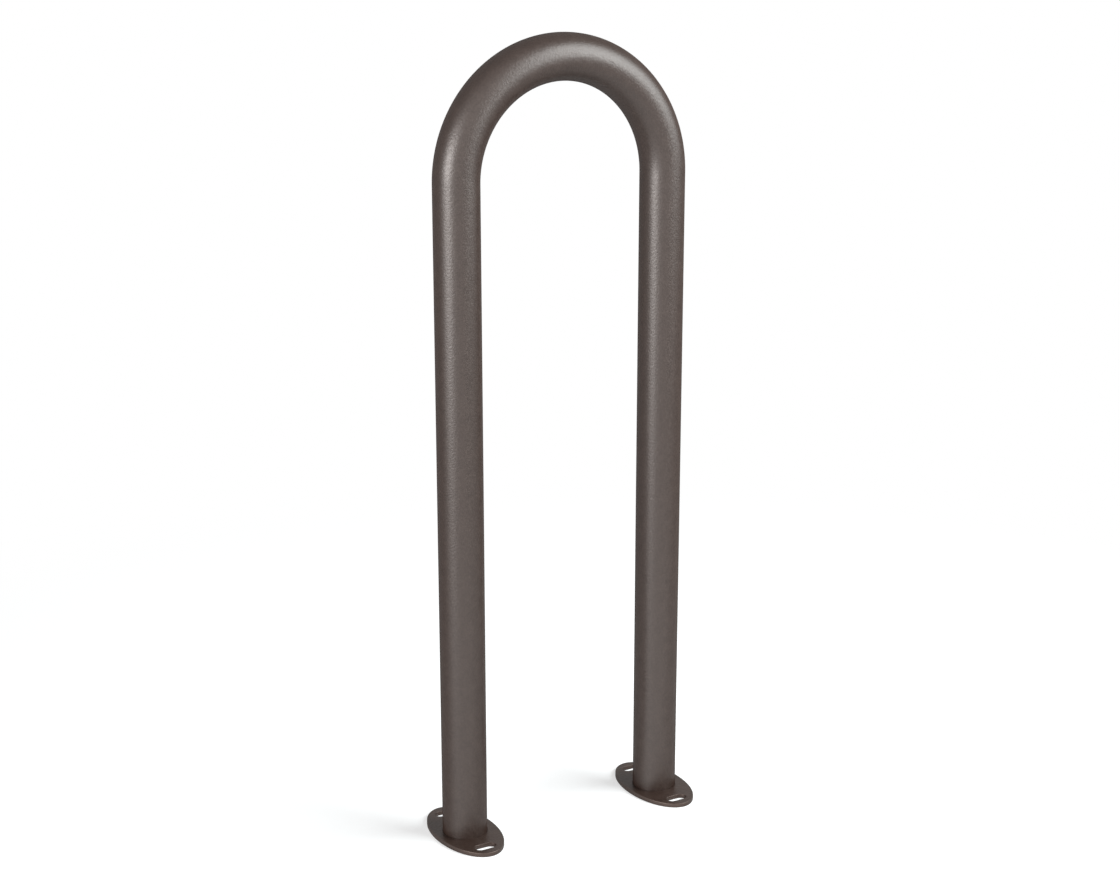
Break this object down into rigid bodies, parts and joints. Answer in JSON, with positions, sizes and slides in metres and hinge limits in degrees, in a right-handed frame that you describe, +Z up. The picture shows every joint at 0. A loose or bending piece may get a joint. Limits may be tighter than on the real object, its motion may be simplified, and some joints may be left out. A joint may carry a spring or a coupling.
{
  "type": "hoop bike rack",
  "caption": "Narrow upright hoop of bent round steel tube for locking bicycles, each leg socketed in and welded under an elliptical foot plate with slots for ground anchors.",
  "frame": {"origin": "on the ground, at the foot plates' undersides, midway between the two legs", "axes": "+X from the left leg to the right leg in the hoop's plane, +Y across the hoop towards its back, +Z up"},
  "size_m": [0.3264, 0.133, 0.8899],
  "materials": {
    "powder_coat": "fine-texture powder coat, dark brown-grey, low sheen"
  },
  "bodies": {
    "root": {"hoop_tube": "powder_coat", "left_foot_plate": "powder_coat", "left_foot_weld": "powder_coat", "right_foot_plate": "powder_coat", "right_foot_weld": "powder_coat"}
  },
  "joints": []
}
